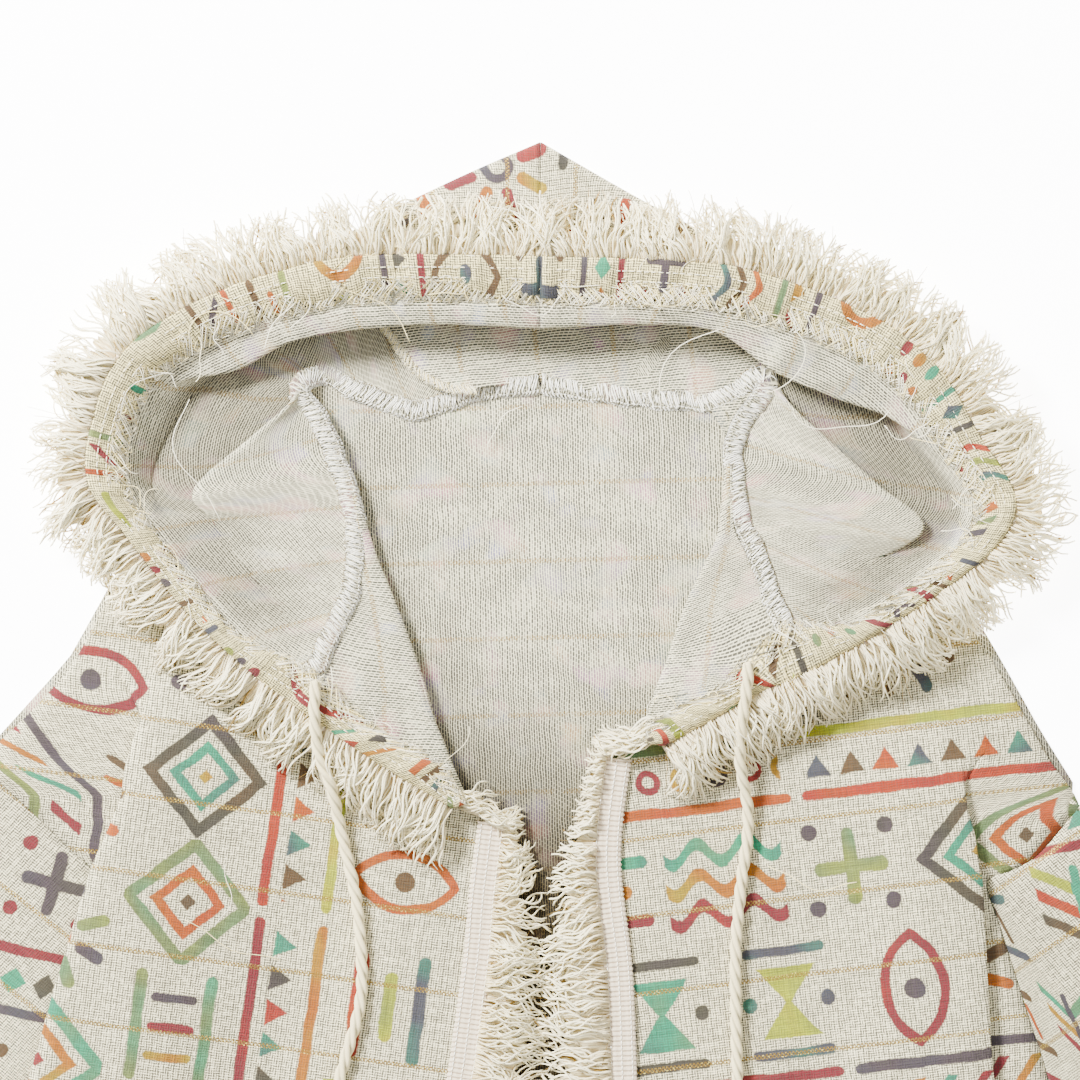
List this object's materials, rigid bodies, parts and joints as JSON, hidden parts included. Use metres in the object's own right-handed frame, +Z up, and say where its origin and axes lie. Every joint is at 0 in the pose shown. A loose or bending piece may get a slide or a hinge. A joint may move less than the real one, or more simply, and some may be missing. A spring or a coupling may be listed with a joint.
{
  "type": "hooded kaftan",
  "caption": "Open-front kaftan with a drawcord hood and fringed edges, laid out flat on its back with the hood spread open.",
  "frame": {"origin": "middle of the garment's outline, on the surface that it lies on", "axes": "+Y towards the crown of the hood, +X to the right seen from above, +Z up out of the surface"},
  "size_m": [1.0414, 1.057, 0.029],
  "materials": {
    "cloth": "oatmeal plain weave with an all-over print and thin gold stripes, paler inside",
    "fringe": "ivory loop fringe on a woven heading",
    "cord": "twisted ivory cotton cord"
  },
  "bodies": {
    "root": {"back": "cloth", "front_left": "cloth", "front_right": "cloth", "sleeve_left": "cloth", "sleeve_right": "cloth", "hood_left": "cloth", "hood_right": "cloth", "lapel_left": "cloth", "lapel_right": "cloth", "casing_left": "cloth", "casing_right": "cloth", "hood_fringe_left": "fringe", "hood_fringe_right": "fringe", "front_trim_left": "fringe", "front_trim_right": "fringe", "drawcord_left": "cord", "drawcord_right": "cord", "drawcord_knot_left": "cord", "drawcord_knot_right": "cord"}
  },
  "joints": []
}
